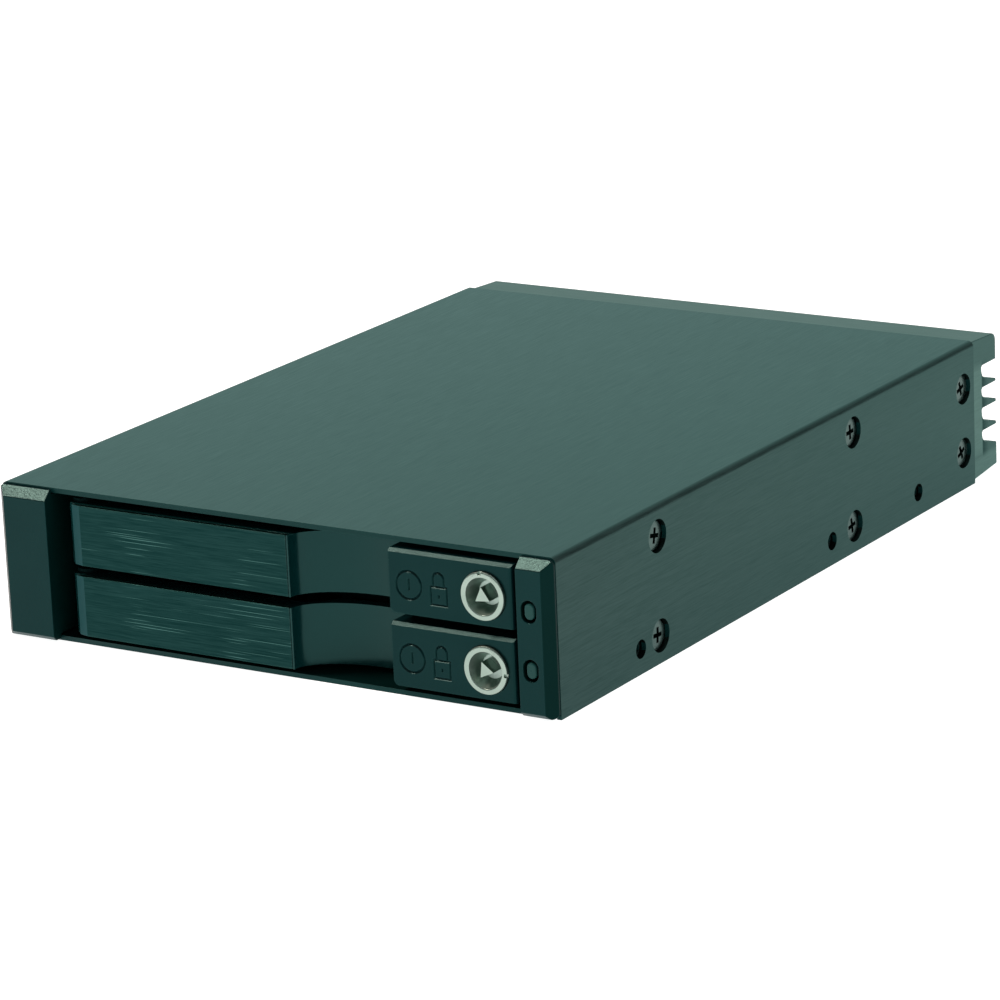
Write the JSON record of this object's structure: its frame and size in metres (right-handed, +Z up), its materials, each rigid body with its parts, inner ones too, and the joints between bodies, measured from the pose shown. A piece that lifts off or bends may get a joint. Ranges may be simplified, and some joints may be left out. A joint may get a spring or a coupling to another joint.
{
  "type": "two-bay drive enclosure",
  "caption": "Flat black aluminium hot-swap enclosure: stacked drive trays slide out of the front, each with a swing lever, push button and key lock; finned rear.",
  "frame": {"origin": "centre of the underside of the object's box", "axes": "+X to the right seen from the front, +Y from the front bezel towards the finned rear, +Z up"},
  "size_m": [0.1016, 0.1484, 0.025],
  "materials": {
    "brushed_black_aluminium": "brushed, black anodised",
    "cast_black_metal": "fine-grained satin black",
    "light_lens": "smoked translucent",
    "led_body": "moulded",
    "dull_black_plastic": "moulded, dull",
    "circuit_board": "solder mask",
    "satin_black_plastic": "satin",
    "gloss_black_plastic": "polished",
    "anodised_rear_aluminium": "bead blasted, anodised",
    "black_screw_steel": "blackened",
    "plain_steel": "zinc plated",
    "lock_chrome": "polished nickel"
  },
  "bodies": {
    "housing": {"outer_cover": "brushed_black_aluminium", "base_chassis": "brushed_black_aluminium", "left_post": "cast_black_metal", "right_post": "cast_black_metal", "upper_light_pipe": "light_lens", "lower_light_pipe": "light_lens", "upper_led": "led_body", "lower_led": "led_body", "left_guide": "dull_black_plastic", "right_guide": "dull_black_plastic", "backplane_board": "circuit_board", "upper_drive_socket": "satin_black_plastic", "lower_drive_socket": "satin_black_plastic", "upper_data_port": "satin_black_plastic", "lower_data_port": "satin_black_plastic", "power_port": "satin_black_plastic", "rear_block": "anodised_rear_aluminium", "side_screw_left_1": "black_screw_steel", "side_screw_left_2": "black_screw_steel", "side_screw_left_3": "black_screw_steel", "side_screw_left_4": "black_screw_steel", "side_screw_left_5": "black_screw_steel", "side_screw_left_6": "black_screw_steel", "side_screw_right_1": "black_screw_steel", "side_screw_right_2": "black_screw_steel", "side_screw_right_3": "black_screw_steel", "side_screw_right_4": "black_screw_steel", "side_screw_right_5": "black_screw_steel", "side_screw_right_6": "black_screw_steel", "board_screw_left_1": "plain_steel", "board_screw_left_2": "plain_steel", "board_screw_right_1": "plain_steel", "board_screw_right_2": "plain_steel"},
    "lower_tray": {"lower_tray_carrier": "plain_steel", "lower_tray_front": "dull_black_plastic", "lower_carrier_screw_1": "plain_steel", "lower_carrier_screw_2": "plain_steel", "lower_hinge_pin": "plain_steel", "lower_button_spring": "plain_steel"},
    "lower_lever": {"lower_lever_arm": "gloss_black_plastic", "lower_lever_plate": "brushed_black_aluminium"},
    "lower_button": {"lower_lock_button": "satin_black_plastic"},
    "lower_lock": {"lower_lock_barrel": "lock_chrome", "lower_lock_cam": "plain_steel"},
    "upper_tray": {"upper_tray_carrier": "plain_steel", "upper_tray_front": "dull_black_plastic", "upper_carrier_screw_1": "plain_steel", "upper_carrier_screw_2": "plain_steel", "upper_hinge_pin": "plain_steel", "upper_button_spring": "plain_steel"},
    "upper_lever": {"upper_lever_arm": "gloss_black_plastic", "upper_lever_plate": "brushed_black_aluminium"},
    "upper_button": {"upper_lock_button": "satin_black_plastic"},
    "upper_lock": {"upper_lock_barrel": "lock_chrome", "upper_lock_cam": "plain_steel"}
  },
  "joints": [
    {"name": "lower_tray_slide", "type": "slide", "parent": "housing", "child": "lower_tray", "axis": [0, -1, 0], "range_m": [0, 0.1]},
    {"name": "lower_lever_swing", "type": "hinge", "parent": "lower_tray", "child": "lower_lever", "pos_m": [-0.0368, -0.06965, 0.00655], "axis": [0, 0, -1], "range_deg": [0, 75]},
    {"name": "lower_button_press", "type": "slide", "parent": "lower_tray", "child": "lower_button", "axis": [0, 1, 0], "range_m": [0, 0.0018], "stiffness_N_per_m": 600, "springref_m": -0.001, "deforming": ["lower_button_spring"]},
    {"name": "lower_key_turn", "type": "hinge", "parent": "lower_button", "child": "lower_lock", "pos_m": [0.0388, -0.07385, 0.0065], "axis": [0, 1, 0], "range_deg": [-90, 0]},
    {"name": "upper_tray_slide", "type": "slide", "parent": "housing", "child": "upper_tray", "axis": [0, -1, 0], "range_m": [0, 0.1]},
    {"name": "upper_lever_swing", "type": "hinge", "parent": "upper_tray", "child": "upper_lever", "pos_m": [-0.0368, -0.06965, 0.01805], "axis": [0, 0, -1], "range_deg": [0, 75]},
    {"name": "upper_button_press", "type": "slide", "parent": "upper_tray", "child": "upper_button", "axis": [0, 1, 0], "range_m": [0, 0.0018], "stiffness_N_per_m": 600, "springref_m": -0.001, "deforming": ["upper_button_spring"]},
    {"name": "upper_key_turn", "type": "hinge", "parent": "upper_button", "child": "upper_lock", "pos_m": [0.0388, -0.07385, 0.018], "axis": [0, 1, 0], "range_deg": [0, 90]}
  ]
}
